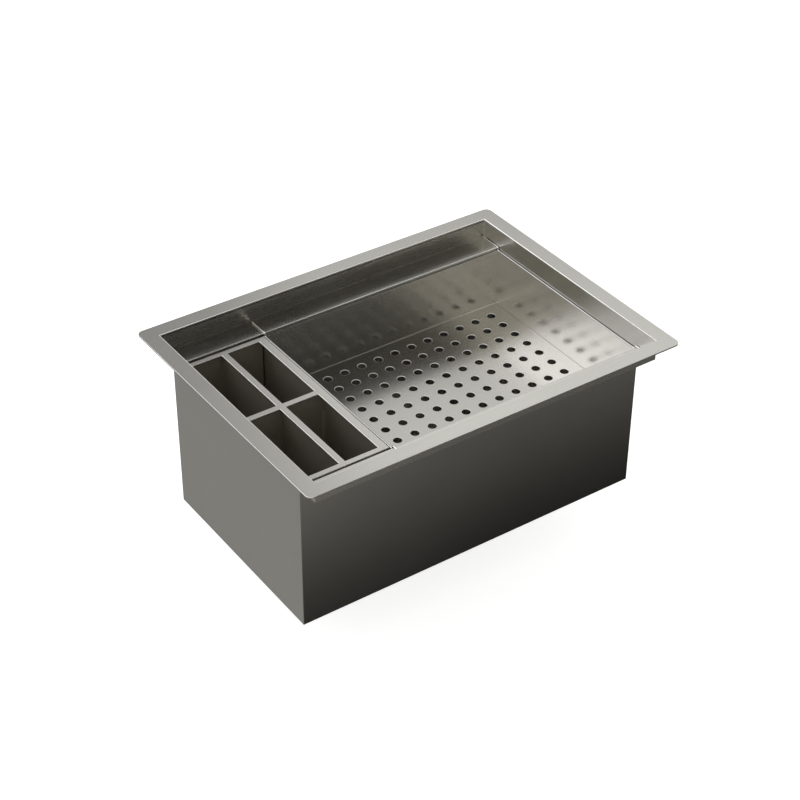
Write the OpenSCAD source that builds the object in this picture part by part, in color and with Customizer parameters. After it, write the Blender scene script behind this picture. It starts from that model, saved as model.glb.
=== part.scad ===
// Stainless steel work sink: a folded bowl under a flat rim, with a ledge along the front and
// the back, a perforated tray that hangs from both ledges, a four-well caddy that stands
// beside it, and a basket waste in the floor.
// Millimetres, +Z up, +X to the right, front towards -Y.
// The origin is the centre of the rim, on the plane of its underside.

/* [Rim] */
// Length of the rim, left to right
rim_length = 615; // [560:1:800]
// Width of the rim, front to back
rim_width = 450; // [430:1:560]
// Width of the flat border round the opening
rim_border = 25; // [18:0.5:34]
// Thickness of the rim plate
rim_thickness = 2.5; // [1.5:0.1:4]
// Radius of the rim's outer corners
rim_corner_radius = 10; // [2:0.5:16]

/* [Bowl] */
// Height from the bowl's underside to the rim's top face
bowl_height = 269; // [220:1:320]
// Thickness of the bowl's sheet
bowl_sheet = 1.2; // [0.8:0.1:2]
// Drop from the rim's top face to the ledges
ledge_drop = 31; // [22:0.5:45]
// Width of each ledge
ledge_width = 37; // [28:0.5:44]
// Width of the drainage grooves in the floor
groove_width = 3; // [1:0.5:6]
// Depth of the drainage grooves
groove_depth = 0.4; // [0.2:0.1:0.6]
// Distance from a groove's outer end to the bowl's walls
groove_margin = 24; // [10:1:40]

/* [Fits of the loose pieces] */
// Gap between the caddy and the bowl's left end wall
caddy_end_play = 4; // [1:0.5:8]
// Gap between the caddy and the edges of the ledges
caddy_side_play = 4.6; // [1:0.2:8]
// Gap between the tray's right rod and the bowl's right end wall
tray_end_play = 0.8; // [0.6:0.1:4]
// Gap between the tray and the edges of the ledges
tray_side_play = 0.8; // [0.6:0.1:4]
// Gap between the caddy and the tray's left rod
insert_gap = 2.4; // [1:0.1:5]
// Gap left under a loose piece where it rests
seat_gap = 0.1; // [0.05:0.05:0.3]

/* [Tray] */
// Depth from the ledges to the tray's floor
tray_depth = 99.2; // [60:0.1:140]
// Drop from the ledges to the tray's top edge
tray_drop = 4.3; // [3.5:0.1:8]
// Thickness of the tray's sheet
tray_sheet = 1.2; // [0.8:0.1:1.6]
// Diameter of the tray's drainage holes
tray_hole_diameter = 13; // [6:0.5:16]
// Distance between the holes' centres
tray_hole_pitch = 30; // [22:0.5:40]
// Least distance from a hole's centre to the tray's outside
tray_hole_margin = 20; // [14:1:30]
// Diameter of the hanger rods
rod_diameter = 2.4; // [2:0.1:4]
// Gap between a rod's tip and the wall behind the ledge
rod_tip_gap = 4; // [1:0.5:8]
// Radius inside the rods' bends
bend_inside = 0.8; // [0.5:0.1:1.2]
// Length of a hook's straight foot, from where the bend starts to the straight rod
hook_foot = 2; // [1:0.5:10]

/* [Caddy] */
// Length of the caddy, along the bowl
caddy_length = 138.5; // [110:0.5:170]
// Drop from the ledges to the caddy's top face
caddy_drop = 1; // [0:0.5:5]
// Thickness of the caddy's top frame
frame_thickness = 1.5; // [1:0.1:3]
// Width of the frame's bars along the caddy's left and right
frame_side_bar = 12.5; // [6:0.5:18]
// Width of the frame's bars along the caddy's front and back
frame_end_bar = 8.5; // [5:0.5:14]
// Width of the frame's two middle bars
frame_middle_bar = 9.7; // [6:0.1:16]
// Thickness of the caddy's walls, dividers and base
caddy_sheet = 1.2; // [0.8:0.1:1.6]
// Slot left open down each corner of the caddy
corner_slot = 2; // [1:0.5:4]
// Slot left open beside each end of a divider
divider_slot = 3; // [1:0.5:5]
// Height of a divider's tabs under the frame, above its slots
tab_above_slot = 33; // [15:1:60]
// Height of a divider's tabs above the base, under its slots
tab_below_slot = 25; // [15:1:60]
// Play where the two dividers are halved together
halving_play = 0.1; // [0.05:0.05:0.4]
// Diameter of the drainage holes in the caddy's base
caddy_hole_diameter = 8; // [4:0.5:12]
// Distance between those holes' centres
caddy_hole_pitch = 24; // [16:1:36]
// Height of the caddy's rubber feet
foot_height = 5; // [3:0.5:10]
// Radius of the feet
foot_radius = 8; // [6:0.5:11]
// Radius of the stem that holds a foot in the base
foot_stem_radius = 2.5; // [1.5:0.25:4]
// Distance from a foot's centre to the caddy's outside
foot_inset = 12; // [10:1:15]

/* [Waste] */
// Radius of the hole in the bowl's floor
waste_hole_radius = 45; // [41:0.5:50]
// Play between that hole and the strainer
waste_hole_play = 1.5; // [0.5:0.1:2.5]
// Depth of the round recess that takes the strainer's flange
recess_depth = 4; // [3:0.1:6]
// Width of the recess's sloping side
recess_slope = 4; // [2:0.5:8]
// Play between the strainer's flange and the recess's slope
recess_play = 2; // [1:0.5:4]
// Reach of the strainer's flange past its cup
flange_reach = 10.5; // [8:0.5:14]
// Thickness of the strainer's flange
flange_thickness = 1.5; // [1:0.1:2]
// Wall of the strainer's cup
strainer_wall = 1.6; // [1.2:0.1:2.4]
// Depth inside the strainer's cup
strainer_depth = 44; // [40:1:54]
// Inside radius of the strainer's outlet
outlet_radius = 18; // [15:0.5:19]
// Wall of the strainer's outlet
outlet_wall = 5; // [4:0.5:7]
// Length of the strainer's outlet
outlet_length = 14; // [12:0.5:20]
// Thickness of the seal under the flange
seal_thickness = 1; // [0.5:0.1:1.4]
// Thickness of the rubber washer under the floor
washer_thickness = 3; // [2:0.5:5]
// Thickness of the fibre ring under that washer
fibre_thickness = 1; // [0.5:0.1:2]
// Height of the big locknut
locknut_height = 12; // [8:0.5:16]
// Width of the locknut's ring, outside its thread
locknut_width = 7; // [5:0.5:9]
// Height of a lug on the locknut's side
locknut_lug = 4; // [2:0.5:6]
// Play in the threads
thread_play = 0.15; // [0.05:0.05:0.4]

/* [Tailpiece] */
// Outside radius of the tailpiece
tail_radius = 19.05; // [17:0.05:20.5]
// Wall of the tailpiece
tail_wall = 1.2; // [0.8:0.1:1.8]
// Distance from the bowl's underside to the tailpiece's end
tail_reach = 100; // [90:1:115]
// Thickness of the tailpiece's flange and of its washer
tail_flange = 2; // [1.5:0.1:3]
// Relief of the tailpiece's neck inside the coupling nut
neck_relief = 0.3; // [0.25:0.05:0.4]
// Height of the thread that the coupling nut covers
nut_grip = 10; // [6:0.5:11]
// Thickness of the coupling nut's shoulder
nut_shoulder = 3; // [2:0.5:5]
// Wall of the coupling nut
nut_wall = 5; // [4:0.5:8]

/* [Basket] */
// Play between the basket's rim and the strainer's cup
basket_play = 1; // [0.5:0.1:2]
// Drop from the strainer's flange to the basket's rim
basket_drop = 6; // [3:0.5:10]
// Wall of the basket
basket_wall = 1; // [0.8:0.1:1.5]
// Width of the basket's flat rim
basket_rim = 2.5; // [1.5:0.5:4]
// How far the basket narrows towards its floor
basket_taper = 8; // [3:0.5:12]
// Diameter of the basket's holes
basket_hole_diameter = 4.5; // [2:0.5:6]
// Number of holes in a row round the basket's side
basket_hole_count = 16; // [8:1:20]
// Thickness of the rubber stopper
stopper_thickness = 5; // [3:0.5:8]
// Overlap of the stopper on the floor round the outlet
stopper_overlap = 6; // [3:0.5:8]
// Radius of the basket's post
post_radius = 3; // [2:0.25:4]
// Radius of the knob on the post
knob_radius = 9; // [7:0.5:12]
// Height of the knob
knob_height = 7; // [5:0.5:10]
// Height of the knob's top above the strainer's flange
knob_rise = 8; // [4:0.5:14]

/* [Hidden] */
$fn = 72;

// A cut runs this far past the faces that it opens
cut = 1;

opening_length = rim_length - 2 * rim_border;
opening_width = rim_width - 2 * rim_border;
bowl_width = opening_width - 2 * ledge_width;

rim_top = rim_thickness;
ledge_top = rim_top - ledge_drop;
ledge_under = ledge_top - bowl_sheet;
bowl_under = rim_top - bowl_height;
floor_top = bowl_under + bowl_sheet;

strainer_radius = waste_hole_radius - waste_hole_play;
strainer_bore = strainer_radius - strainer_wall;
flange_radius = strainer_radius + flange_reach;
recess_flat = flange_radius + recess_play;
recess_radius = recess_flat + recess_slope;
recess_top = floor_top - recess_depth;
recess_under = recess_top - bowl_sheet;
flange_top = recess_top + seal_thickness + flange_thickness;
cup_floor = flange_top - strainer_depth;
cup_under = cup_floor - strainer_wall;
outlet_end = cup_under - outlet_length;
outlet_outside = outlet_radius + outlet_wall;
washer_under = recess_under - washer_thickness;
fibre_under = washer_under - fibre_thickness;
locknut_under = fibre_under - locknut_height;
locknut_radius = strainer_radius + locknut_width;
locknut_lugs = 6;
lug_width = 12;

tail_flange_top = outlet_end - tail_flange;
tail_flange_under = tail_flange_top - tail_flange;
tail_flange_radius = outlet_outside - thread_play;
nut_under = tail_flange_under - nut_shoulder;
nut_top = outlet_end + nut_grip;
nut_bore = outlet_outside + thread_play;
tail_end = bowl_under - tail_reach;

basket_top = flange_top - basket_drop;
basket_floor = cup_floor + seat_gap + stopper_thickness;
basket_radius = strainer_bore - basket_play;
basket_side_top = basket_radius - basket_rim;
basket_side_foot = basket_side_top - basket_taper;
basket_mid = (basket_top + basket_floor) / 2;
knob_top = flange_top + knob_rise;

caddy_width = bowl_width - 2 * caddy_side_play;
caddy_left = -opening_length / 2 + caddy_end_play;
caddy_right = caddy_left + caddy_length;
caddy_middle = (caddy_left + caddy_right) / 2;
caddy_top = ledge_top - caddy_drop;
caddy_under_frame = caddy_top - frame_thickness;
caddy_base = floor_top + seat_gap + foot_height;
caddy_base_top = caddy_base + caddy_sheet;
divider_mid = (caddy_under_frame + caddy_base_top) / 2;
well_length = (caddy_length - 2 * frame_side_bar - frame_middle_bar) / 2;
well_width = (caddy_width - 2 * frame_end_bar - frame_middle_bar) / 2;

rod_radius = rod_diameter / 2;
left_rod = caddy_right + insert_gap + rod_radius;
right_rod = opening_length / 2 - tray_end_play - rod_radius;
tray_left = left_rod - tray_sheet / 2;
tray_right = right_rod + tray_sheet / 2;
tray_length = tray_right - tray_left;
tray_width = bowl_width - 2 * tray_side_play;
tray_middle = (tray_left + tray_right) / 2;
tray_top = ledge_top - tray_drop;
tray_floor_top = ledge_top - tray_depth;
tray_columns = floor((tray_length - 2 * tray_hole_margin) / tray_hole_pitch) + 1;
tray_rows = floor((tray_width - 2 * tray_hole_margin) / tray_hole_pitch) + 1;
hook_height = ledge_top + seat_gap + rod_radius;
hook_bend = tray_width / 2 - rod_radius;
bend_radius = bend_inside + rod_radius;
hook_start = hook_bend - bend_radius - hook_foot;
hook_reach = opening_width / 2 - rod_tip_gap - rod_radius;

// A flat end stays this far from the round side of a rod
round_gap = 0.1;

bowl_colour = "#8f8d86";
tray_colour = "#a5a39b";
caddy_colour = "#9b988f";
waste_colour = "#b8b7b2";
rubber_colour = "#2b2b2b";
fibre_colour = "#7a5a3c";

// A box from its lowest to its highest corner
module block(low, high) {
    translate(low) cube(high - low);
}

// A flat ring between two heights
module ring(inner, outer, low, high) {
    translate([0, 0, low]) difference() {
        cylinder(r = outer, h = high - low);
        translate([0, 0, -cut]) cylinder(r = inner, h = high - low + 2 * cut);
    }
}

// A plate with round corners, centred on the origin
module round_plate(length, width, radius, thickness) {
    translate([-length / 2 + radius, -width / 2, 0]) cube([length - 2 * radius, width, thickness]);
    translate([-length / 2, -width / 2 + radius, 0]) cube([length, width - 2 * radius, thickness]);
    for (x = [-1, 1], y = [-1, 1])
        translate([x * (length / 2 - radius), y * (width / 2 - radius), 0])
            cylinder(r = radius, h = thickness);
}

// Evenly spaced places about a middle
function spaced(count, pitch, middle) = [for (i = [0:count - 1]) middle + (i - (count - 1) / 2) * pitch];

// The rim: one flat plate, cut out to take the walls, whose top edges are ground flush with it
module rim_frame() {
    color(bowl_colour) difference() {
        round_plate(rim_length, rim_width, rim_corner_radius, rim_thickness);
        block([-opening_length / 2 - bowl_sheet, -opening_width / 2 - bowl_sheet, -cut],
              [opening_length / 2 + bowl_sheet, opening_width / 2 + bowl_sheet, rim_thickness + cut]);
    }
}

// A ledge and the low wall behind it, folded from one strip
module ledge_strip() {
    block([-opening_length / 2, bowl_width / 2, ledge_under],
          [opening_length / 2, opening_width / 2 + bowl_sheet, ledge_top]);
    block([-opening_length / 2, opening_width / 2, ledge_under],
          [opening_length / 2, opening_width / 2 + bowl_sheet, rim_top]);
}

module back_ledge() {
    color(bowl_colour) ledge_strip();
}

module front_ledge() {
    color(bowl_colour) mirror([0, 1, 0]) ledge_strip();
}

// An end wall: wide down to the ledges, then as wide as the bowl
module end_wall() {
    outside = opening_width / 2 + bowl_sheet;
    bowl_outside = bowl_width / 2 + bowl_sheet;
    block([opening_length / 2, -outside, ledge_under],
          [opening_length / 2 + bowl_sheet, outside, rim_top]);
    block([opening_length / 2, -bowl_outside, bowl_under],
          [opening_length / 2 + bowl_sheet, bowl_outside, ledge_under]);
}

module right_end_wall() {
    color(bowl_colour) end_wall();
}

module left_end_wall() {
    color(bowl_colour) mirror([1, 0, 0]) end_wall();
}

// A long wall of the bowl, from its underside up to the ledge
module long_wall() {
    block([-opening_length / 2, bowl_width / 2, bowl_under],
          [opening_length / 2, bowl_width / 2 + bowl_sheet, ledge_under]);
}

module back_wall() {
    color(bowl_colour) long_wall();
}

module front_wall() {
    color(bowl_colour) mirror([0, 1, 0]) long_wall();
}

// The floor, with a round recess for the waste and a groove from each corner to it
module floor_pan() {
    corner_x = opening_length / 2 - groove_margin;
    corner_y = bowl_width / 2 - groove_margin;
    groove_end = sqrt(corner_x * corner_x + corner_y * corner_y);
    color(bowl_colour) union() {
        difference() {
            block([-opening_length / 2, -bowl_width / 2, bowl_under],
                  [opening_length / 2, bowl_width / 2, floor_top]);
            translate([0, 0, bowl_under - cut]) cylinder(r = recess_radius, h = bowl_sheet + 2 * cut);
            for (x = [-1, 1], y = [-1, 1])
                rotate([0, 0, atan2(y * corner_y, x * corner_x)])
                    block([recess_radius - cut, -groove_width / 2, floor_top - groove_depth],
                          [groove_end, groove_width / 2, floor_top + cut]);
        }
        rotate_extrude() polygon([
            [recess_radius, floor_top],
            [recess_flat, recess_top],
            [waste_hole_radius, recess_top],
            [waste_hole_radius, recess_under],
            [recess_flat, recess_under],
            [recess_radius, bowl_under]
        ]);
    }
}

// The strainer's flange and the wall of its cup, drawn in one piece
module strainer_body() {
    color(waste_colour) rotate_extrude() polygon([
        [strainer_bore, cup_floor],
        [strainer_radius, cup_floor],
        [strainer_radius, flange_top - flange_thickness],
        [flange_radius, flange_top - flange_thickness],
        [flange_radius, flange_top],
        [strainer_bore, flange_top]
    ]);
}

// The cup's floor and the threaded outlet, turned in one piece and brazed under the cup
module strainer_outlet() {
    color(waste_colour) rotate_extrude() polygon([
        [outlet_radius, outlet_end],
        [outlet_outside, outlet_end],
        [outlet_outside, cup_under],
        [strainer_radius, cup_under],
        [strainer_radius, cup_floor],
        [outlet_radius, cup_floor]
    ]);
}

// The soft seal between the strainer's flange and the recess
module strainer_seal() {
    color(rubber_colour)
        ring(waste_hole_radius, flange_radius - seal_thickness, recess_top, recess_top + seal_thickness);
}

module rubber_washer() {
    color(rubber_colour)
        ring(strainer_radius + thread_play, recess_flat - recess_play, washer_under, recess_under);
}

module fibre_ring() {
    color(fibre_colour)
        ring(strainer_radius + thread_play, locknut_radius + thread_play, fibre_under, washer_under);
}

// The big nut that pulls the strainer down, with lugs for a spanner
module locknut() {
    color(waste_colour) difference() {
        union() {
            translate([0, 0, locknut_under]) cylinder(r = locknut_radius, h = locknut_height);
            for (i = [0:locknut_lugs - 1])
                rotate([0, 0, i * 360 / locknut_lugs])
                    block([strainer_radius + thread_play, -lug_width / 2, locknut_under],
                          [locknut_radius + locknut_lug, lug_width / 2, fibre_under - fibre_thickness]);
        }
        translate([0, 0, locknut_under - cut])
            cylinder(r = strainer_radius + thread_play, h = locknut_height + 2 * cut);
    }
}

module tailpiece_washer() {
    color(rubber_colour) ring(outlet_radius, tail_flange_radius, tail_flange_top, outlet_end);
}

// The tailpiece: flanged tube, with its neck relieved inside the coupling nut
module tailpiece() {
    neck_radius = tail_radius - neck_relief;
    color(waste_colour) rotate_extrude() polygon([
        [tail_radius - tail_wall, tail_end],
        [tail_radius, tail_end],
        [tail_radius, nut_under],
        [neck_radius, nut_under],
        [neck_radius, tail_flange_under],
        [tail_flange_radius, tail_flange_under],
        [tail_flange_radius, tail_flange_top],
        [tail_radius - tail_wall, tail_flange_top]
    ]);
}

// The eight-sided nut that holds the tailpiece to the strainer
module coupling_nut() {
    color(waste_colour) difference() {
        translate([0, 0, nut_under])
            rotate([0, 0, 22.5])
                cylinder(r = nut_bore + nut_wall, h = nut_top - nut_under, $fn = 8);
        translate([0, 0, tail_flange_under])
            cylinder(r = nut_bore, h = nut_top - tail_flange_under + cut);
        translate([0, 0, nut_under - cut])
            cylinder(r = tail_radius + thread_play, h = nut_shoulder + 2 * cut);
    }
}

// The lift-out basket, with holes through its side and its floor
module basket_cup() {
    floor_holes = basket_side_foot - 2 * basket_hole_diameter;
    color(waste_colour) difference() {
        rotate_extrude() polygon([
            [post_radius, basket_floor],
            [basket_side_foot, basket_floor],
            [basket_side_top, basket_top - basket_wall],
            [basket_radius, basket_top - basket_wall],
            [basket_radius, basket_top],
            [basket_side_top - basket_wall, basket_top],
            [basket_side_foot - basket_wall, basket_floor + basket_wall],
            [post_radius, basket_floor + basket_wall]
        ]);
        for (i = [0:basket_hole_count - 1], row = [-1, 1])
            rotate([0, 0, (i + row / 4) * 360 / basket_hole_count])
                translate([2 * post_radius, 0, basket_mid + row * 1.2 * basket_hole_diameter])
                    rotate([0, 90, 0])
                        cylinder(d = basket_hole_diameter, h = basket_radius);
        for (i = [0:basket_hole_count - 1])
            rotate([0, 0, i * 360 / basket_hole_count])
                translate([floor_holes, 0, basket_floor - cut])
                    cylinder(d = basket_hole_diameter, h = basket_wall + 2 * cut);
    }
}

// The post through the basket, with a turned knob on top
module basket_post() {
    post_foot = cup_floor + seat_gap + stopper_thickness / 2;
    edge = 1.5;
    color(waste_colour) rotate_extrude() polygon([
        [0, post_foot],
        [post_radius, post_foot],
        [post_radius, knob_top - knob_height],
        [knob_radius - edge, knob_top - knob_height],
        [knob_radius, knob_top - knob_height + edge],
        [knob_radius, knob_top - edge],
        [knob_radius - edge, knob_top],
        [0, knob_top]
    ]);
}

// The rubber stopper under the basket, which covers the outlet
module basket_stopper() {
    foot = cup_floor + seat_gap;
    color(rubber_colour) difference() {
        translate([0, 0, foot]) cylinder(r = outlet_radius + stopper_overlap, h = stopper_thickness);
        translate([0, 0, foot + stopper_thickness / 2]) cylinder(r = post_radius, h = stopper_thickness);
    }
}

// The tray's floor, with a square grid of drainage holes
module tray_floor() {
    hole_columns = spaced(tray_columns, tray_hole_pitch, tray_middle);
    hole_rows = spaced(tray_rows, tray_hole_pitch, 0);
    color(tray_colour) difference() {
        block([tray_left, -tray_width / 2, tray_floor_top - tray_sheet],
              [tray_right, tray_width / 2, tray_floor_top]);
        for (x = hole_columns, y = hole_rows)
            translate([x, y, tray_floor_top - tray_sheet - cut])
                cylinder(d = tray_hole_diameter, h = tray_sheet + 2 * cut);
    }
}

// A long wall of the tray, between its two ends, and between the rods along its top edge
module tray_long_wall() {
    inside = tray_width / 2 - tray_sheet;
    block([tray_left + tray_sheet, inside, tray_floor_top],
          [tray_right - tray_sheet, tray_width / 2, tray_top - rod_radius - round_gap]);
    block([left_rod + rod_radius + round_gap, inside, tray_floor_top],
          [right_rod - rod_radius - round_gap, tray_width / 2, tray_top]);
}

module tray_back_wall() {
    color(tray_colour) tray_long_wall();
}

module tray_front_wall() {
    color(tray_colour) mirror([0, 1, 0]) tray_long_wall();
}

// A stretch of rod along Y
module rod_run(x, from, to, z) {
    translate([x, from, z]) rotate([-90, 0, 0]) cylinder(r = rod_radius, h = to - from);
}

// An end of the tray, hollowed along its top edge to seat the rod that is welded to it
module tray_end(x) {
    difference() {
        block([x - tray_sheet / 2, -tray_width / 2, tray_floor_top],
              [x + tray_sheet / 2, tray_width / 2, tray_top - 0.9 * rod_radius]);
        rod_run(x, -tray_width, tray_width, tray_top);
    }
}

module tray_left_end() {
    color(tray_colour) tray_end(left_rod);
}

module tray_right_end() {
    color(tray_colour) tray_end(right_rod);
}

// The straight middle of a hanger rod, along the top edge of the tray's end
module hanger_rod(x) {
    rod_run(x, -hook_start, hook_start, tray_top);
}

// A quarter bend of rod
module rod_bend() {
    rotate_extrude(angle = 90) translate([bend_radius, 0]) circle(r = rod_radius);
}

// A bent end of the rod: it steps up past the edge of the back ledge and lies across it
module hanger_hook(x) {
    rod_run(x, hook_start, hook_bend - bend_radius, tray_top);
    translate([x, hook_bend - bend_radius, tray_top + bend_radius]) rotate([0, 90, 0]) rod_bend();
    translate([x, hook_bend, tray_top + bend_radius])
        cylinder(r = rod_radius, h = hook_height - tray_top - 2 * bend_radius);
    translate([x, hook_bend + bend_radius, hook_height - bend_radius]) rotate([0, -90, 180]) rod_bend();
    rod_run(x, hook_bend + bend_radius, hook_reach, hook_height);
    translate([x, hook_reach, hook_height]) rotate([90, 0, 0]) sphere(r = rod_radius);
}

module hanger_hooks(x) {
    hanger_hook(x);
    mirror([0, 1, 0]) hanger_hook(x);
}

module tray_left_rod() {
    color(tray_colour) hanger_rod(left_rod);
}

module tray_right_rod() {
    color(tray_colour) hanger_rod(right_rod);
}

module tray_left_hooks() {
    color(tray_colour) hanger_hooks(left_rod);
}

module tray_right_hooks() {
    color(tray_colour) hanger_hooks(right_rod);
}

// The caddy's top frame: a flat plate with four openings
module caddy_top_frame() {
    step_x = (well_length + frame_middle_bar) / 2;
    step_y = (well_width + frame_middle_bar) / 2;
    color(caddy_colour) difference() {
        block([caddy_left, -caddy_width / 2, caddy_under_frame],
              [caddy_right, caddy_width / 2, caddy_top]);
        for (x = [-1, 1], y = [-1, 1])
            translate([caddy_middle + x * step_x, y * step_y, caddy_top])
                cube([well_length, well_width, 2 * frame_thickness + cut], center = true);
    }
}

// A short wall of the caddy, with a slot left open at each corner
module caddy_end() {
    block([caddy_left + caddy_sheet + corner_slot, caddy_width / 2 - caddy_sheet, caddy_base],
          [caddy_right - caddy_sheet - corner_slot, caddy_width / 2, caddy_under_frame]);
}

module caddy_back_wall() {
    color(caddy_colour) caddy_end();
}

module caddy_front_wall() {
    color(caddy_colour) mirror([0, 1, 0]) caddy_end();
}

// A long wall of the caddy
module caddy_side(x) {
    block([x, -caddy_width / 2, caddy_base], [x + caddy_sheet, caddy_width / 2, caddy_under_frame]);
}

module caddy_left_wall() {
    color(caddy_colour) caddy_side(caddy_left);
}

module caddy_right_wall() {
    color(caddy_colour) caddy_side(caddy_right - caddy_sheet);
}

// A divider along Y, with slots beside both of its ends, and halved where the other one crosses
module divider(half_length, halving_low, halving_high) {
    difference() {
        block([-caddy_sheet / 2, -half_length, caddy_base_top],
              [caddy_sheet / 2, half_length, caddy_under_frame]);
        for (side = [0, 1])
            mirror([0, side, 0])
                block([-caddy_sheet, half_length - divider_slot, caddy_base_top + tab_below_slot],
                      [caddy_sheet, half_length + cut, caddy_under_frame - tab_above_slot]);
        block([-caddy_sheet, -caddy_sheet / 2 - halving_play, halving_low],
              [caddy_sheet, caddy_sheet / 2 + halving_play, halving_high]);
    }
}

module caddy_long_divider() {
    color(caddy_colour)
        translate([caddy_middle, 0, 0])
            divider(caddy_width / 2 - caddy_sheet, divider_mid, caddy_under_frame + cut);
}

module caddy_cross_divider() {
    color(caddy_colour)
        translate([caddy_middle, 0, 0])
            rotate([0, 0, 90])
                divider(caddy_length / 2 - caddy_sheet, caddy_base_top - cut, divider_mid);
}

// The caddy's base, with drainage holes under each well and a hole for each foot's stem
module caddy_base() {
    rows = floor((well_width - caddy_hole_diameter) / caddy_hole_pitch) + 1;
    columns = floor((well_length - caddy_hole_diameter) / caddy_hole_pitch) + 1;
    step_x = (well_length + frame_middle_bar) / 2;
    step_y = (well_width + frame_middle_bar) / 2;
    color(caddy_colour) difference() {
        block([caddy_left + caddy_sheet, -caddy_width / 2 + caddy_sheet, caddy_base],
              [caddy_right - caddy_sheet, caddy_width / 2 - caddy_sheet, caddy_base_top]);
        for (side_x = [-1, 1], side_y = [-1, 1])
            for (x = spaced(columns, caddy_hole_pitch, caddy_middle + side_x * step_x),
                 y = spaced(rows, caddy_hole_pitch, side_y * step_y))
                translate([x, y, caddy_base - cut])
                    cylinder(d = caddy_hole_diameter, h = caddy_sheet + 2 * cut);
        at_each_foot(caddy_base - cut) cylinder(r = foot_stem_radius, h = caddy_sheet + 2 * cut);
    }
}

module at_each_foot(z) {
    for (x = [caddy_left + foot_inset, caddy_right - foot_inset], side = [-1, 1])
        translate([x, side * (caddy_width / 2 - foot_inset), z]) children();
}

// Four rubber feet, each buttoned through the base by its stem
module caddy_feet() {
    head = 2;
    color(rubber_colour) {
        at_each_foot(floor_top + seat_gap) cylinder(r = foot_radius, h = foot_height);
        at_each_foot(caddy_base) cylinder(r = foot_stem_radius, h = caddy_sheet + head);
        at_each_foot(caddy_base_top) cylinder(r = 2 * foot_stem_radius, h = head);
    }
}

rim_frame();
back_ledge();
front_ledge();
left_end_wall();
right_end_wall();
back_wall();
front_wall();
floor_pan();
strainer_body();
strainer_outlet();
strainer_seal();
rubber_washer();
fibre_ring();
locknut();
tailpiece_washer();
tailpiece();
coupling_nut();
basket_cup();
basket_post();
basket_stopper();
tray_floor();
tray_back_wall();
tray_front_wall();
tray_left_end();
tray_right_end();
tray_left_rod();
tray_right_rod();
tray_left_hooks();
tray_right_hooks();
caddy_top_frame();
caddy_back_wall();
caddy_front_wall();
caddy_left_wall();
caddy_right_wall();
caddy_long_divider();
caddy_cross_divider();
caddy_base();
caddy_feet();
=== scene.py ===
"""A stainless steel work sink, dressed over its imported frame: bowl, waste, basket, tray and caddy.

Lengths are metres in the frame's own axes: +Z up, the front towards -Y, and the origin at the
centre of the rim, on the plane of its underside. Each solid of the construction is copied, merged
and given eased edges, and what only shows close up is modelled on it: the rim's lip, fold radii and
a screw thread. A small class for each finish makes its shader.
"""
import functools
import logging
import math
from dataclasses import dataclass, field
from enum import Enum

import bmesh
import bpy
from mathutils import Matrix, Vector


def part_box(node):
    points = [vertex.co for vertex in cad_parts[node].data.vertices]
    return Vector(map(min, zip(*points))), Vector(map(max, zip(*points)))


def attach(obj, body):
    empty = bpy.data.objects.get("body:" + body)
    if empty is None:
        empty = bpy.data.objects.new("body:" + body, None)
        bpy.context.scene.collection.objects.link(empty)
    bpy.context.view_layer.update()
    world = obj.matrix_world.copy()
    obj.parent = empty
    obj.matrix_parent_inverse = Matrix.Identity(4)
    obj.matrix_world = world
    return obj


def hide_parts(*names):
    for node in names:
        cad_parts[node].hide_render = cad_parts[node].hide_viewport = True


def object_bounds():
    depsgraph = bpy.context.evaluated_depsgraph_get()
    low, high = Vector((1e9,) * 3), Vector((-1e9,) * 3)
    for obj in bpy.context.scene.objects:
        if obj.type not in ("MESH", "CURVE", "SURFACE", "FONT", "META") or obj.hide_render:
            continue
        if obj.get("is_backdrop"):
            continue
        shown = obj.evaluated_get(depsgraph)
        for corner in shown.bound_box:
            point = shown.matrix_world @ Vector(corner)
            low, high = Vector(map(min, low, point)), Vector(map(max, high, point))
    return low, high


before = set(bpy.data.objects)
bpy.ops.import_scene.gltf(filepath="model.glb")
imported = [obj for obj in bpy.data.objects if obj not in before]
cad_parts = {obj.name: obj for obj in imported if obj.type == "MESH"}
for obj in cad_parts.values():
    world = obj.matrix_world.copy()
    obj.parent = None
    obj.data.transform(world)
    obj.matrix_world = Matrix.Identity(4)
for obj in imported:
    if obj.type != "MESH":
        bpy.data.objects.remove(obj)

MM = 0.001
# Corners this close are one corner
WELD = 0.001 * MM
# A place this close to a limit counts as on it
NEAR = 0.01 * MM
# A fillet or the lip sinks this far into the sheet behind it
SINK = 0.05 * MM
LOG = logging.getLogger("work_sink")

# What the construction fixes, read back from the frame
RIM_LOW, RIM_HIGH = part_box("rim_frame")
LEDGE_LOW, LEDGE_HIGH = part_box("back_ledge")
WALL_LOW, WALL_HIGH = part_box("right_end_wall")
PAN_LOW, PAN_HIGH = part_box("floor_pan")
TRAY_LOW, TRAY_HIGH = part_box("tray_floor")
OPENING_HALF_LENGTH = LEDGE_HIGH.x
BOWL_HALF_WIDTH = LEDGE_LOW.y
BOWL_SHEET = WALL_HIGH.x - OPENING_HALF_LENGTH
LEDGE_TOP = LEDGE_LOW.z + BOWL_SHEET
TRAY_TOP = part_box("tray_back_wall")[1].z


class Grain(Enum):
    """Which way the brushing of a finish runs."""

    ALONG_X = "along x"
    ALONG_Y = "along y"
    TURNED = "in circles about the waste"


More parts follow.
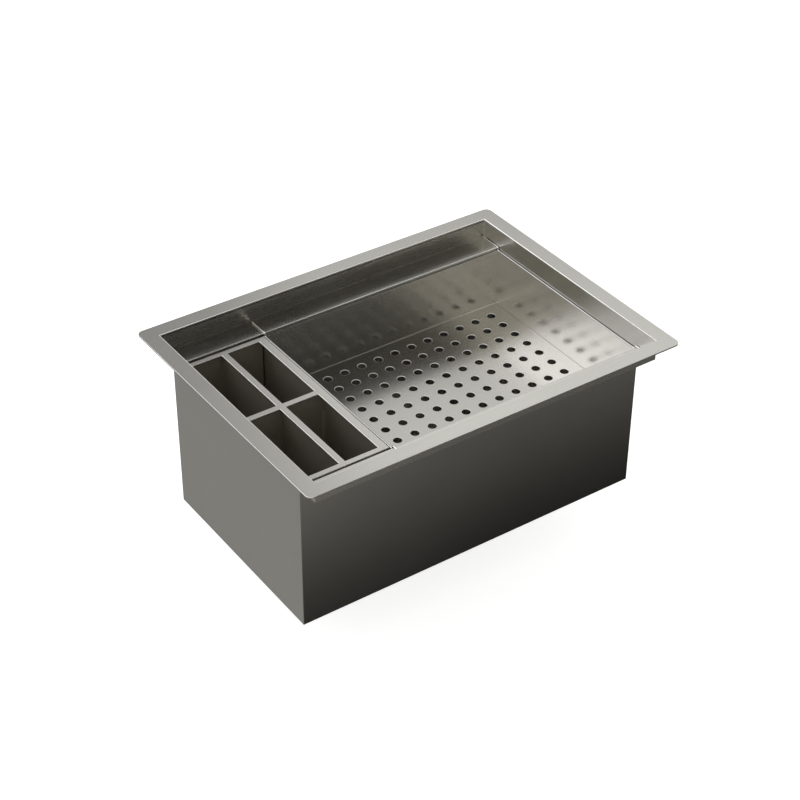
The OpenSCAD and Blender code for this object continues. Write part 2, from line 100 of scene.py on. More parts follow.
class Wire:
    """A shader value that Python's operators work on: each one adds its Math node."""

    def __init__(self, bench: "Bench", socket: bpy.types.NodeSocket) -> None:
        """Keeps the node tree and the socket that carries the value."""
        self.bench = bench
        self.socket = socket

    def _math(self, operation: str, *values: "Wire | float") -> "Wire":
        """Adds a Math node.

        Args:
            operation: the Math node's operation.
            values: its inputs in order, as wires or numbers.

        Returns:
            The node's result.
        """
        return self.bench.wire("ShaderNodeMath", {"operation": operation}, dict(enumerate(values)))

    def __add__(self, other: "Wire | float") -> "Wire":
        """Adds."""
        return self._math("ADD", self, other)

    __radd__ = __add__

    def __sub__(self, other: "Wire | float") -> "Wire":
        """Subtracts."""
        return self._math("SUBTRACT", self, other)

    def __rsub__(self, other: "Wire | float") -> "Wire":
        """Subtracts from a number."""
        return self._math("SUBTRACT", other, self)

    def __mul__(self, other: "Wire | float") -> "Wire":
        """Multiplies."""
        return self._math("MULTIPLY", self, other)

    __rmul__ = __mul__

    def or_more(self, other: "Wire | float") -> "Wire":
        """Takes the larger of two values."""
        return self._math("MAXIMUM", self, other)


class Bench:
    """A node tree at work, with one method that adds any node to it."""

    def __init__(self, tree: bpy.types.NodeTree) -> None:
        """Empties the tree."""
        self.tree = tree
        tree.nodes.clear()

    def node(self, kind: str, settings: dict | None = None, sockets: dict | None = None) -> bpy.types.Node:
        """Adds a node.

        Args:
            kind: the node's type.
            settings: its properties, set first.
            sockets: wires or values for its inputs, by name or number.

        Returns:
            The new node.
        """
        node = self.tree.nodes.new(kind)
        for name, value in (settings or {}).items():
            setattr(node, name, value)
        for name, value in (sockets or {}).items():
            if isinstance(value, Wire):
                self.tree.links.new(value.socket, node.inputs[name])
            else:
                node.inputs[name].default_value = value
        return node

    def wire(self, kind: str, settings: dict | None = None, sockets: dict | None = None,
             output: int | str = 0) -> Wire:
        """Adds a node and takes one of its outputs.

        Args:
            kind: the node's type.
            settings: its properties.
            sockets: wires or values for its inputs.
            output: the output's number or name.

        Returns:
            The output as a wire.
        """
        return Wire(self, self.node(kind, settings, sockets).outputs[output])

    def place(self) -> Wire:
        """Takes the Object coordinates."""
        return self.wire("ShaderNodeTexCoord", None, None, "Object")

    def scaled(self, place: Wire, scale: tuple[float, float, float]) -> Wire:
        """Scales coordinates, which sets how fine a pattern on them is."""
        return self.wire("ShaderNodeMapping", None, {"Vector": place, "Scale": scale})

    def blend(self, share: Wire, first: tuple[float, ...], second: tuple[float, ...]) -> Wire:
        """Mixes two opaque colours.

        Args:
            share: how much of the second one.
            first: the first colour.
            second: the second colour.

        Returns:
            The mix.
        """
        first_input, second_input, colour_output = 6, 7, 2
        return self.wire("ShaderNodeMix", {"data_type": "RGBA"},
                         {0: share, first_input: (*first, 1.0), second_input: (*second, 1.0)}, colour_output)

    def noise(self, place: Wire, detail: float = 2.0) -> Wire:
        """Adds a noise texture on a vector that already has its scale."""
        return self.wire("ShaderNodeTexNoise", {"noise_dimensions": "3D"},
                         {"Vector": place, "Scale": 1.0, "Detail": detail, "Roughness": 0.55})

    def bump(self, height: Wire, strength: float, distance: float) -> Wire:
        """Turns a pattern into a bumped normal."""
        return self.wire("ShaderNodeBump", None,
                         {"Strength": strength, "Distance": distance, "Height": height})

    def principled(self, **sockets: Wire | float) -> None:
        """Ends the tree with a Principled shader, whose sockets are named with _ for a space."""
        named = {name.replace("_", " "): value for name, value in sockets.items()}
        self.end_with(self.wire("ShaderNodeBsdfPrincipled", None, named))

    def end_with(self, shader: Wire) -> None:
        """Joins a shader to the material's output."""
        self.node("ShaderNodeOutputMaterial", None, {0: shader})


def new_material(name: str) -> tuple[bpy.types.Material, Bench]:
    """Makes a material whose node tree is empty.

    Args:
        name: the material's name.

    Returns:
        The material and the bench for its nodes.
    """
    material = bpy.data.materials.new(name)
    material.use_nodes = True
    return material, Bench(material.node_tree)


@dataclass(frozen=True)
class Steel:
    """Stainless steel: fine streaks of one grain, a broad drift of tone, and scattered marks."""

    name: str
    grain: Grain
    colour: tuple[float, float, float] = (0.60, 0.592, 0.562)
    roughness: float = 0.24
    streaking: float = 0.06
    relief: float = 0.05
    drift: float = 0.05
    streaks_per_metre: float = 1300.0
    streak_length: float = 0.12
    fine_share: float = 0.6
    wide_ratio: float = 7.0
    clouds_per_metre: float = 9.0
    metallic: float = 1.0

    def grained(self, bench: Bench, place: Wire, fineness: float) -> Wire:
        """Stretches Object coordinates along the grain.

        Args:
            bench: the node tree.
            place: Object coordinates.
            fineness: streaks across one metre.

        Returns:
            The stretched coordinates.
        """
        along = 1.0 / self.streak_length
        scales = {Grain.ALONG_X: (along, fineness, fineness), Grain.ALONG_Y: (fineness, along, fineness)}
        if self.grain in scales:
            return bench.scaled(place, scales[self.grain])
        parts = bench.node("ShaderNodeSeparateXYZ", None, {0: place})
        x, y, z = (Wire(bench, parts.outputs[i]) for i in range(3))
        flat = bench.wire("ShaderNodeCombineXYZ", None, {0: x, 1: y})
        radius = bench.wire("ShaderNodeVectorMath", {"operation": "LENGTH"}, {0: flat}, "Value")
        return bench.wire("ShaderNodeCombineXYZ", None, {0: radius * fineness, 1: z * fineness})

    def build(self) -> bpy.types.Material:
        """Makes the shader.

        Returns:
            The material.
        """
        material, bench = new_material(self.name)
        place = bench.place()
        fine = bench.noise(self.grained(bench, place, self.streaks_per_metre), 3.0)
        wide = bench.noise(self.grained(bench, place, self.streaks_per_metre / self.wide_ratio))
        cloud = bench.noise(bench.scaled(place, (self.clouds_per_metre,) * 3))
        streak = fine * self.fine_share + wide * (1 - self.fine_share) - 0.5
        tone = (cloud - 0.5) * self.drift * 2 + streak * self.drift
        shade = bench.wire("ShaderNodeCombineXYZ", None, {0: tone + 1.0, 1: tone + 1.0, 2: tone + 1.0})
        colour = bench.wire("ShaderNodeVectorMath", {"operation": "MULTIPLY"},
                            {0: self.colour, 1: shade})
        roughness = streak * (2 * self.streaking) + (cloud - 0.5) * self.streaking + self.roughness
        bench.principled(Base_Color=colour, Metallic=self.metallic, Roughness=roughness,
                         Normal=bench.bump(fine, self.relief, 0.2 * MM))
        return material


@dataclass(frozen=True)
class Rubber:
    """Black rubber with a dull bloom and a fine pitted skin."""

    name: str
    colour: tuple[float, float, float] = (0.022, 0.022, 0.021)
    bloom: tuple[float, float, float] = (0.06, 0.058, 0.055)
    roughness: float = 0.62
    clouds_per_metre: float = 60.0
    pits_per_metre: float = 1500.0

    def build(self) -> bpy.types.Material:
        """Makes the shader.

        Returns:
            The material.
        """
        material, bench = new_material(self.name)
        place = bench.place()
        cloud = bench.noise(bench.scaled(place, (self.clouds_per_metre,) * 3))
        pits = bench.noise(bench.scaled(place, (self.pits_per_metre,) * 3))
        bench.principled(Base_Color=bench.blend(cloud, self.colour, self.bloom),
                         Roughness=cloud * 0.2 + self.roughness, Normal=bench.bump(pits, 0.3, 0.1 * MM))
        return material


@dataclass(frozen=True)
class PressedFibre:
    """Brown pressed fibre, flecked and matt."""

    name: str
    dark: tuple[float, float, float] = (0.16, 0.09, 0.045)
    light: tuple[float, float, float] = (0.34, 0.22, 0.12)
    roughness: float = 0.7
    flecks_per_metre: tuple[float, float, float] = (700, 700, 200)

    def build(self) -> bpy.types.Material:
        """Makes the shader.

        Returns:
            The material.
        """
        material, bench = new_material(self.name)
        flecks = bench.noise(bench.scaled(bench.place(), self.flecks_per_metre), 4.0)
        bench.principled(Base_Color=bench.blend(flecks, self.dark, self.light),
                         Roughness=flecks * 0.2 + self.roughness, Normal=bench.bump(flecks, 0.4, 0.1 * MM))
        return material


@dataclass(frozen=True)
class PaleFloor:
    """The pale floor, which looks white to the camera and to metal, and still takes a shadow."""

    name: str = "pale_floor"
    colour: tuple[float, float, float] = (0.82, 0.82, 0.82)
    lift: float = 0.72

    def build(self) -> bpy.types.Material:
        """Makes the shader.

        Returns:
            The material.
        """
        material, bench = new_material(self.name)
        seen = seen_by_eye_or_metal(bench)
        paint = bench.wire("ShaderNodeBsdfDiffuse", None, {"Color": (*self.colour, 1.0)})
        glow = bench.wire("ShaderNodeEmission", None, {"Strength": seen * self.lift})
        bench.end_with(bench.wire("ShaderNodeAddShader", None, {0: paint, 1: glow}))
        material.cycles.emission_sampling = "NONE"
        return material


@dataclass(frozen=True)
class Grade:
    """A smooth step of tone along one axis of the set."""

    axis: int
    start: float
    end: float
    low: float
    high: float

    def wire(self, bench: Bench, place: bpy.types.Node) -> Wire:
        """Makes the step from separated coordinates."""
        return bench.wire("ShaderNodeMapRange", {"interpolation_type": "SMOOTHSTEP"},
                          {0: Wire(bench, place.outputs[self.axis]), 1: self.start, 2: self.end,
                           3: self.low, 4: self.high})


@dataclass(frozen=True)
class CardPaint:
    """A card that metal sees at a plain tone, times its grades."""

    name: str
    grades: tuple[Grade, ...] = ()
    tint: tuple[float, float, float] = (1.0, 0.965, 0.9)
    tone: float = 1.0

    def build(self) -> bpy.types.Material:
        """Makes the shader.

        Returns:
            The material.
        """
        material, bench = new_material(self.name)
        place = bench.node("ShaderNodeSeparateXYZ", None, {0: bench.place()})
        tone = math.prod((grade.wire(bench, place) for grade in self.grades), start=self.tone)
        bench.end_with(bench.wire("ShaderNodeEmission", None,
                                  {"Color": (*self.tint, 1.0), "Strength": tone}))
        material.cycles.emission_sampling = "NONE"
        return material


def seen_by_eye_or_metal(bench: Bench) -> Wire:
    """Tells the rays that see a thing from the rays that light the object by it.

    Args:
        bench: the node tree.

    Returns:
        1 for camera, glossy and transmission rays, and 0 for the others.
    """
    path = bench.node("ShaderNodeLightPath")
    camera, glossy, through = (Wire(bench, path.outputs[kind]) for kind in (
        "Is Camera Ray", "Is Glossy Ray", "Is Transmission Ray"))
    return camera.or_more(glossy).or_more(through)


Finish = Steel | Rubber | PressedFibre | PaleFloor | CardPaint


@functools.cache
def made(finish: Finish) -> bpy.types.Material:
    """Builds a finish's material once, however many pieces wear it."""
    return finish.build()


RIM_STEEL = Steel("rim_satin", Grain.ALONG_X)
LONG_STEEL = Steel("bowl_satin_long", Grain.ALONG_X, roughness=0.21)
END_STEEL = Steel("bowl_satin_end", Grain.ALONG_Y, roughness=0.21)
WALL_STEEL = Steel("bowl_satin_wall", Grain.ALONG_X, roughness=0.27)
TRAY_PAN = Steel("tray_satin_pan", Grain.ALONG_X, colour=(0.56, 0.552, 0.522), roughness=0.25,
                 streaking=0.04, relief=0.04)
TRAY_LONG = Steel("tray_satin_long", Grain.ALONG_X, roughness=0.23, streaking=0.04)
# Painted highlight: the tray's end walls get a near-white copy of the tray steel, which paints the bright
# light that falls on them
TRAY_END_LIT = Steel("tray_end_painted_highlight", Grain.ALONG_Y, colour=(0.95, 0.935, 0.9), roughness=0.23,
                 streaking=0.03, relief=0.03)
CADDY_FACE = Steel("caddy_satin", Grain.ALONG_Y, roughness=0.25)
# Painted shade: the caddy's walls, partitions and base get a darker, browner copy of the steel, which paints
# the warm bounced shade deep in the wells
WELL_SHADE_LONG = Steel("well_painted_shade_long", Grain.ALONG_X, colour=(0.50, 0.465, 0.40), roughness=0.42,
                  metallic=0.75)
WELL_SHADE_END = Steel("well_painted_shade_end", Grain.ALONG_Y, colour=(0.50, 0.465, 0.40), roughness=0.42,
                 metallic=0.75)
ROD_STEEL = Steel("rod_bright", Grain.ALONG_Y, colour=(0.66, 0.65, 0.63), roughness=0.2,
                  streaking=0.03, relief=0.03)
# Painted highlight: a near-white steel on the eased edges, the lip's round, the ledges' round edges and the
# hanger hooks, which paints the bright lines where edges catch the light
EDGE_HIGHLIGHT_STEEL = Steel("edge_painted_highlight", Grain.ALONG_X, colour=(0.93, 0.925, 0.905), roughness=0.16,
                   streaking=0.04, relief=0.02)
# Painted highlight: a pale, half-diffuse steel on the eased rims of the tray's holes, which paints bright
# crescents on them
HOLE_RIM_HIGHLIGHT = Steel("hole_rim_painted_highlight", Grain.ALONG_X, colour=(0.92, 0.91, 0.88), roughness=0.35,
                     streaking=0.04, relief=0.02, metallic=0.5)
# Painted shade: the faces of the groove under the rim's lip are near black, which paints the shadow in that
# undercut
GROOVE_SHADE = Steel("groove_painted_shade", Grain.ALONG_X, colour=(0.05, 0.047, 0.043), roughness=0.5, metallic=0.3)
POLISHED = Steel("polished_waste", Grain.TURNED, colour=(0.68, 0.675, 0.66), roughness=0.1,
                 streaking=0.04, relief=0.03)
RUBBER = Rubber("black_rubber")
FIBRE = PressedFibre("pressed_fibre")


def merged_copy(node: str) -> bmesh.types.BMesh:
    """Copies a solid of the construction and joins its loose triangles.

    Args:
        node: the solid's name.

    Returns:
        A closed mesh with one face on each flat side.
    """
    shape = bmesh.new()
    shape.from_mesh(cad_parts[node].data)
    bmesh.ops.remove_doubles(shape, verts=shape.verts, dist=WELD)
    bmesh.ops.dissolve_limit(shape, angle_limit=math.radians(1), verts=shape.verts, edges=shape.edges)
    return shape


@dataclass(frozen=True)
class Span:
    """A box that picks out the edges or faces whose corners all lie in it."""

    low: tuple[float, float, float] = (-9, -9, -9)
    high: tuple[float, float, float] = (9, 9, 9)

    def holds(self, part: bmesh.types.BMEdge | bmesh.types.BMFace) -> bool:
        """Tells whether every corner of an edge or a face is in the box."""
        return all(low - NEAR <= value <= high + NEAR for corner in part.verts
                   for low, value, high in zip(self.low, corner.co, self.high))


@dataclass(frozen=True)
class Outside:
    """Picks out the edges or faces whose corners all lie outside an upright rectangle."""

    half_x: float
    half_y: float

    def holds(self, part: bmesh.types.BMEdge | bmesh.types.BMFace) -> bool:
        """Tells whether every corner of an edge or a face is outside."""
        return all(abs(corner.co.x) > self.half_x or abs(corner.co.y) > self.half_y for corner in part.verts)


def ease(shape: bmesh.types.BMesh, reach: float, steps: int = 2, span: Span | Outside = Span(),
         least_angle: float = 35, clamp: bool = True) -> None:
    """Rounds a mesh's sharp edges and marks the new faces for the second finish.

    Args:
        shape: the mesh.
        reach: how far the rounding goes on each side of an edge.
        steps: the rounding's segments.
        span: where the edges are.
        least_angle: the smallest angle of an edge that is rounded, in degrees.
        clamp: holds the reach back where edges lie close together.
    """
    sharp = [e for e in shape.edges
             if e.is_manifold and e.calc_face_angle() > math.radians(least_angle) and span.holds(e)]
    rounded = bmesh.ops.bevel(shape, geom=sharp, offset=reach, offset_type="OFFSET", affect="EDGES",
                              segments=steps, profile=0.5, material=-1, clamp_overlap=clamp)
    for face in rounded["faces"]:
        face.material_index = 1


def cut_off(shape: bmesh.types.BMesh, height: float) -> None:
    """Takes away what stands above a height and closes the cut.

    Args:
        shape: the mesh.
        height: where it is cut.
    """
    cut = bmesh.ops.bisect_plane(shape, geom=[*shape.verts, *shape.edges, *shape.faces],
                                 plane_co=(0, 0, height), plane_no=(0, 0, 1), clear_outer=True)
    open_edges = [e for e in cut["geom_cut"] if isinstance(e, bmesh.types.BMEdge)]
    bmesh.ops.contextual_create(shape, geom=open_edges)


def add_fillet(shape: bmesh.types.BMesh, start: Vector, end: Vector, one_way: Vector, other_way: Vector,
               radius: float, steps: int = 5) -> None:
    """Adds a hollow fillet along an inside corner.

    Args:
        shape: the mesh that it joins.
        start: one end of the corner's line.
        end: the other end.
        one_way: the direction along the first face, away from the corner.
        other_way: the same along the second face.
        radius: the fillet's radius.
        steps: the facets of its curve.
    """
    sunk = (one_way + other_way) * SINK
    centre = start + (one_way + other_way) * radius
    points = [start - sunk]
    for i in range(steps + 1):
        turn = math.pi / 2 * i / steps
        points.append(centre - one_way * radius * math.sin(turn) - other_way * radius * math.cos(turn))
    face = shape.faces.new([shape.verts.new(point) for point in points])
    grown = bmesh.ops.extrude_face_region(shape, geom=[face])
    moved = [v for v in grown["geom"] if isinstance(v, bmesh.types.BMVert)]
    bmesh.ops.translate(shape, verts=moved, vec=end - start)


def add_thread(shape: bmesh.types.BMesh, radius: float, low: float, high: float, pitch: float,
               depth: float, steps_per_turn: int = 48, width_share: float = 0.84) -> None:
    """Winds a screw thread about the waste's axis.

    Args:
        shape: the mesh that it joins.
        radius: the cylinder that it stands on.
        low: the height of its lower end.
        high: the height of its upper end.
        pitch: its rise in one turn.
        depth: how far it stands out.
        steps_per_turn: the facets of one turn.
        width_share: its width at the root, as a share of the pitch.
    """
    turns = (high - low) / pitch - 1
    steps = int(steps_per_turn * turns)
    half = pitch * width_share / 2
    root = radius - 2 * SINK
    profile = [Vector((root, 0, low)), Vector((radius + depth, 0, low + half)),
               Vector((root, 0, low + 2 * half))]
    corners = [shape.verts.new(point) for point in profile]
    face = shape.faces.new(corners)
    bmesh.ops.spin(shape, geom=[face, *face.edges, *corners], cent=(0, 0, 0), axis=(0, 0, 1),
                   dvec=(0, 0, pitch * turns / steps), angle=2 * math.pi * turns, steps=steps,
                   use_merge=False)


@dataclass
class SubAssembly:
    """What every sub-assembly shares: its body, its slot, and a way to set down a piece."""

    body: str
    slot: str
    pieces: list[bpy.types.Object] = field(default_factory=list)

    def set_down(self, name: str, shape: bmesh.types.BMesh, finishes: tuple[Finish, ...],
                 slot: str | None = None, stands_for: str | None = None,
                 smooth_angle: float = 40) -> bpy.types.Object:
        """Turns a mesh into a piece that rides on the body.

        Args:
            name: the piece's name.
            shape: its mesh, which is used up.
            finishes: its finishes, by the faces' material index.
            slot: not used.
            stands_for: the solid that it replaces, if any.
            smooth_angle: the largest angle that still shades as one curve, in degrees.

        Returns:
            The piece.
        """
        mesh = bpy.data.meshes.new(name)
        shape.normal_update()
        for face in shape.faces:
            face.smooth = True
        for edge in shape.edges:
            edge.smooth = edge.is_manifold and edge.calc_face_angle() < math.radians(smooth_angle)
        shape.to_mesh(mesh)
        shape.free()
        for finish in finishes:
            mesh.materials.append(made(finish))
        piece = bpy.data.objects.new(name, mesh)
        bpy.context.scene.collection.objects.link(piece)
        level = piece.modifiers.new("flats_shade_flat", "WEIGHTED_NORMAL")
        level.mode = "FACE_AREA"
        level.keep_sharp = True
        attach(piece, self.body)
        slot or self.slot
        if stands_for:
            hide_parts(stands_for)
        self.pieces.append(piece)
        LOG.info("%s: %d faces on %s", name, len(mesh.polygons), self.body)
        return piece

    def dress(self, node: str, name: str, finish: Finish, reach: float, steps: int = 2,
              edge: Finish | None = None, slot: str | None = None,
              **choice: Span | bool) -> bpy.types.Object:
        """Copies a solid, eases its edges and gives it its finish.

        Args:
            node: the solid that the piece stands for.
            name: the piece's name.
            finish: the finish of its faces.
            reach: how far its edges are rounded; 0 leaves them.
            steps: the rounding's segments.
            edge: the finish of the rounded edges, where it differs.
            slot: handed on to set_down.
            choice: what else the rounding takes.

        Returns:
            The piece.
        """
        shape = merged_copy(node)
        if reach:
            ease(shape, reach, steps, **choice)
        return self.set_down(name, shape, (finish, edge or finish), slot, node)


@dataclass
class Bowl(SubAssembly):
    """The rim, the ledges, the walls and the floor."""

    body: str = "bowl"
    slot: str = "bowl_steel"
    rim_ease: float = 0.5 * MM
    sheet_ease: float = 0.3 * MM
    floor_ease: float = 0.2 * MM
    ledge_ease: float = 1.15 * MM
    lip_radius: float = 1.4 * MM
    lip_flat: float = 0.8 * MM
    lip_steps: int = 8
    groove: float = 1.1 * MM
    groove_depth: float = 0.3 * MM
    fold_radius: float = 1.2 * MM
    ledge_fold: float = 0.24 * MM
    corner_fold: float = 0.7 * MM

    def build(self) -> None:
        """Makes the bowl's pieces."""
        self.rim()
        for side, way in (("back", 1), ("front", -1)):
            self.ledge(side, way)
            self.dress(f"{side}_wall", f"{side}_bowl_wall", LONG_STEEL, self.sheet_ease)
        for side in ("left", "right"):
            shape = merged_copy(f"{side}_end_wall")
            cut_off(shape, RIM_LOW.z)
            self.set_down(f"{side}_bowl_end", shape, (END_STEEL,), stands_for=f"{side}_end_wall")
        self.dress("floor_pan", "bowl_floor", LONG_STEEL, self.floor_ease)
        self.set_down("bowl_folds", self.folds(), (LONG_STEEL,))

    def rim(self) -> None:
        """Makes the rim's plate, and the lip round the opening that the walls' top edges finish."""
        plate = merged_copy("rim_frame")
        width = self.lip_radius + self.lip_flat
        for v in plate.verts:
            if abs(v.co.x) < WALL_HIGH.x + MM and abs(v.co.y) < LEDGE_HIGH.y + MM:
                v.co.x = math.copysign(OPENING_HALF_LENGTH + width, v.co.x)
                v.co.y = math.copysign(LEDGE_HIGH.y - BOWL_SHEET + width, v.co.y)
        ease(plate, self.rim_ease, 3, Outside(WALL_HIGH.x + width, LEDGE_HIGH.y + width))
        self.set_down("rim_plate", plate, (RIM_STEEL, EDGE_HIGHLIGHT_STEEL), stands_for="rim_frame")
        self.set_down("rim_lip", self.lip(width), (RIM_STEEL, EDGE_HIGHLIGHT_STEEL, GROOVE_SHADE))

    def lip(self, width: float) -> bmesh.types.BMesh:
        """Makes the lip, where the rim turns down, with a groove under it along the ledges.

        Args:
            width: how far it reaches from the opening to the plate.

        Returns:
            A mitred ring.
        """
        half_x, half_y = OPENING_HALF_LENGTH, LEDGE_HIGH.y - BOWL_SHEET
        radius = self.lip_radius
        turns = [math.pi / 2 * i / self.lip_steps for i in range(self.lip_steps + 1)]
        section = [(radius - radius * math.cos(turn), RIM_HIGH.z - radius + radius * math.sin(turn))
                   for turn in turns]
        back = BOWL_SHEET - SINK
        front = back - self.groove_depth
        groove_floor = RIM_LOW.z - self.groove
        section += [(width, RIM_HIGH.z), (width, RIM_LOW.z), (back, RIM_LOW.z), (back, groove_floor),
                    (front, groove_floor), (front, RIM_LOW.z), (0, RIM_LOW.z)]
        in_groove = range(self.lip_steps + 4, self.lip_steps + 7)
        shape = bmesh.new()
        rings = [[shape.verts.new((x * (half_x + out), y * (half_y + out), z))
                  for x, y in ((-1, -1), (1, -1), (1, 1), (-1, 1))] for out, z in section]
        for i, ring in enumerate(rings):
            following = rings[(i + 1) % len(rings)]
            for j in range(4):
                k = (j + 1) % 4
                face = shape.faces.new((ring[j], ring[k], following[k], following[j]))
                # The lip's round takes the steel of the painted highlight, and the groove's faces take the
                # painted shade
                face.material_index = 1 if i < self.lip_steps else 2 if i in in_groove else 0
        bmesh.ops.recalc_face_normals(shape, faces=shape.faces)
        return shape

    def ledge(self, side: str, way: int) -> None:
        """Makes a ledge's strip, with a round inner edge.

        Args:
            side: back or front.
            way: 1 at the back, -1 at the front.
        """
        shape = merged_copy(f"{side}_ledge")
        cut_off(shape, RIM_LOW.z - self.groove)
        line = way * BOWL_HALF_WIDTH
        ease(shape, self.ledge_ease, 5, Span((-9, line, LEDGE_TOP), (9, line, LEDGE_TOP)))
        shape.normal_update()
        for face in shape.faces:
            if face.material_index == 0 and abs(face.normal.y) > 0.5:
                face.material_index = 2
        # The round inner edge wears the near-white steel of the painted highlight
        self.set_down(f"{side}_ledge_strip", shape, (LONG_STEEL, EDGE_HIGHLIGHT_STEEL, WALL_STEEL),
                      stands_for=f"{side}_ledge")

    def folds(self) -> bmesh.types.BMesh:
        """Makes the fold radii in the bowl's inside corners.

        Returns:
            The fillets, as one mesh.
        """
        shape = bmesh.new()
        up = Vector((0, 0, 1))
        long = OPENING_HALF_LENGTH
        narrow = BOWL_HALF_WIDTH
        wide = LEDGE_HIGH.y - BOWL_SHEET
        for side in (-1, 1):
            inward_y = Vector((0, -side, 0))
            inward_x = Vector((-side, 0, 0))
            for half, height, radius in ((wide, LEDGE_TOP, self.ledge_fold),
                                         (narrow, PAN_HIGH.z, self.fold_radius)):
                add_fillet(shape, Vector((-long, side * half, height)), Vector((long, side * half, height)),
                           inward_y, up, radius)
            add_fillet(shape, Vector((side * long, -narrow, PAN_HIGH.z)),
                       Vector((side * long, narrow, PAN_HIGH.z)), inward_x, up, self.fold_radius)
            for end in (-1, 1):
                along = Vector((0, -end, 0))
                for half, low, high, radius in ((narrow, PAN_HIGH.z, LEDGE_LOW.z, self.fold_radius),
                                                (wide, LEDGE_TOP, RIM_LOW.z, self.corner_fold)):
                    add_fillet(shape, Vector((side * long, end * half, low)),
                               Vector((side * long, end * half, high)), inward_x, along, radius)
        bmesh.ops.recalc_face_normals(shape, faces=shape.faces)
        return shape


@dataclass
class Waste(SubAssembly):
    """The strainer in the bowl's floor and the pipe work under it."""

    body: str = "bowl"
    slot: str = "waste_steel"
    edge: float = 0.3 * MM
    fibre_edge: float = 0.15 * MM
    thread_pitch: float = 2.0 * MM
    thread_depth: float = 0.6 * MM

    def build(self) -> None:
        """Makes the waste's pieces."""
        for node, name in (("strainer_body", "strainer_cup"), ("strainer_outlet", "outlet_spigot"),
                           ("locknut", "strainer_locknut"), ("tailpiece", "tailpiece_tube"),
                           ("coupling_nut", "slip_nut")):
            self.dress(node, name, POLISHED, self.edge, 3)
        for node, name in (("strainer_seal", "flange_seal"), ("rubber_washer", "clamping_washer"),
                           ("tailpiece_washer", "slip_washer")):
            self.dress(node, name, RUBBER, self.edge, slot="black_rubber")
        self.dress("fibre_ring", "friction_ring", FIBRE, self.fibre_edge, slot="fibre")
        self.set_down("waste_threads", self.threads(), (POLISHED,))

    def threads(self) -> bmesh.types.BMesh:
        """Makes the thread that shows under the locknut.

        Returns:
            The thread, as one mesh.
        """
        shape = bmesh.new()
        outlet_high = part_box("strainer_outlet")[1]
        locknut_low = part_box("locknut")[0]
        add_thread(shape, outlet_high.x, outlet_high.z, locknut_low.z, self.thread_pitch, self.thread_depth)
        bmesh.ops.recalc_face_normals(shape, faces=shape.faces)
        return shape


@dataclass
class Basket(SubAssembly):
    """The lift-out basket, its post and its stopper."""

    body: str = "basket"
    slot: str = "waste_steel"
    cup_ease: float = 0.2 * MM
    knob_ease: float = 0.3 * MM
    stopper_ease: float = 0.6 * MM

    def build(self) -> None:
        """Makes the basket's pieces."""
        self.dress("basket_cup", "scrap_basket", POLISHED, self.cup_ease)
        self.dress("basket_post", "basket_knob", POLISHED, self.knob_ease)
        self.dress("basket_stopper", "stopper_disc", RUBBER, self.stopper_ease, 3, slot="black_rubber")


@dataclass
class Tray(SubAssembly):
    """The perforated tray and the two rods that it hangs by."""

    body: str = "tray"
    slot: str = "tray_steel"
    sheet_ease: float = 0.5 * MM
    end_ease: float = 0.25 * MM
    hole_ease: float = 0.8 * MM
    fold_radius: float = 1.2 * MM
    corner_fold: float = 0.5 * MM
    corner_stop: float = 2 * MM

    def build(self) -> None:
        """Makes the tray's pieces."""
        # The holes' eased rims wear the pale steel of the painted highlight
        self.dress("tray_floor", "tray_pan", TRAY_PAN, self.hole_ease, 3, HOLE_RIM_HIGHLIGHT,
                   span=Span((-9, -9, TRAY_HIGH.z)), clamp=False)
        for side in ("back", "front"):
            self.dress(f"tray_{side}_wall", f"tray_{side}_side", TRAY_LONG, self.sheet_ease, 3, EDGE_HIGHLIGHT_STEEL)
        for side in ("left", "right"):
            self.dress(f"tray_{side}_end", f"tray_{side}_side", TRAY_END_LIT, self.end_ease, edge=EDGE_HIGHLIGHT_STEEL)
            self.dress(f"tray_{side}_rod", f"{side}_hanger_rod", ROD_STEEL, 0)
            # The hooks wear the near-white steel of the painted highlight, for the bright dots at their ends
            self.dress(f"tray_{side}_hooks", f"{side}_hanger_hooks", EDGE_HIGHLIGHT_STEEL, 0)
        self.set_down("tray_folds", self.folds(), (TRAY_LONG,))

    def folds(self) -> bmesh.types.BMesh:
        """Makes the fold radii inside the tray.

        Returns:
            The fillets, as one mesh.
        """
        shape = bmesh.new()
        up = Vector((0, 0, 1))
        sheet = TRAY_HIGH.z - TRAY_LOW.z
        left, right = TRAY_LOW.x + sheet, TRAY_HIGH.x - sheet
        near, far = TRAY_LOW.y + sheet, TRAY_HIGH.y - sheet
        floor = TRAY_HIGH.z
        for y, way in ((near, 1), (far, -1)):
            add_fillet(shape, Vector((left, y, floor)), Vector((right, y, floor)),
                       Vector((0, way, 0)), up, self.fold_radius)
        for x, way in ((left, 1), (right, -1)):
            add_fillet(shape, Vector((x, near, floor)), Vector((x, far, floor)),
                       Vector((way, 0, 0)), up, self.fold_radius)
            for y, turn in ((near, 1), (far, -1)):
                add_fillet(shape, Vector((x, y, floor)), Vector((x, y, TRAY_TOP - self.corner_stop)),
                           Vector((way, 0, 0)), Vector((0, turn, 0)), self.corner_fold)
        bmesh.ops.recalc_face_normals(shape, faces=shape.faces)
        return shape


